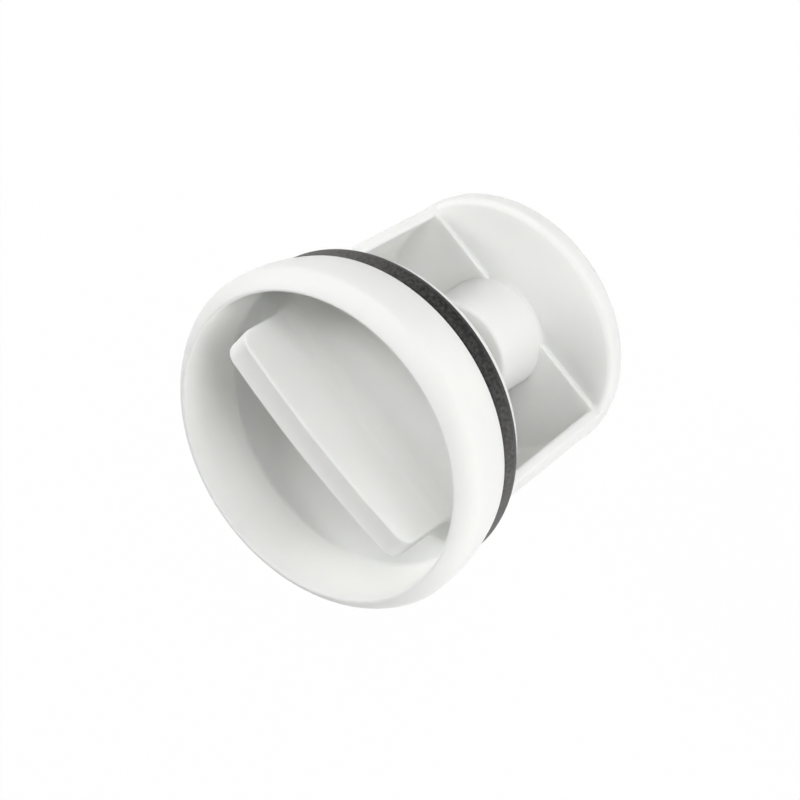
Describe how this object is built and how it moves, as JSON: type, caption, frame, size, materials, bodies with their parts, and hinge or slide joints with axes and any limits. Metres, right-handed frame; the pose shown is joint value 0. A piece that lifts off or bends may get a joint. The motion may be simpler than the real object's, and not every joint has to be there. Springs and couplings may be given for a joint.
{
  "type": "washer pump filter",
  "caption": "Screw-out pump filter: cup-shaped head with a bar grip, a sealing ring in a groove, and a half-open barrel with a boss and an end disc.",
  "frame": {"origin": "on the filter's axis at the end disc's rear face, which is the face it stands on", "axes": "+Z along the axis, out of the cup's mouth; +X along the bar grip; +Y out of the trough's open side"},
  "size_m": [0.064, 0.064, 0.059],
  "materials": {
    "white_plastic": "satin moulded polypropylene, slightly milky",
    "black_rubber": "dull moulded rubber with a faint grain"
  },
  "bodies": {
    "root": {"filter_body": "white_plastic", "sealing_ring": "black_rubber"}
  },
  "joints": []
}
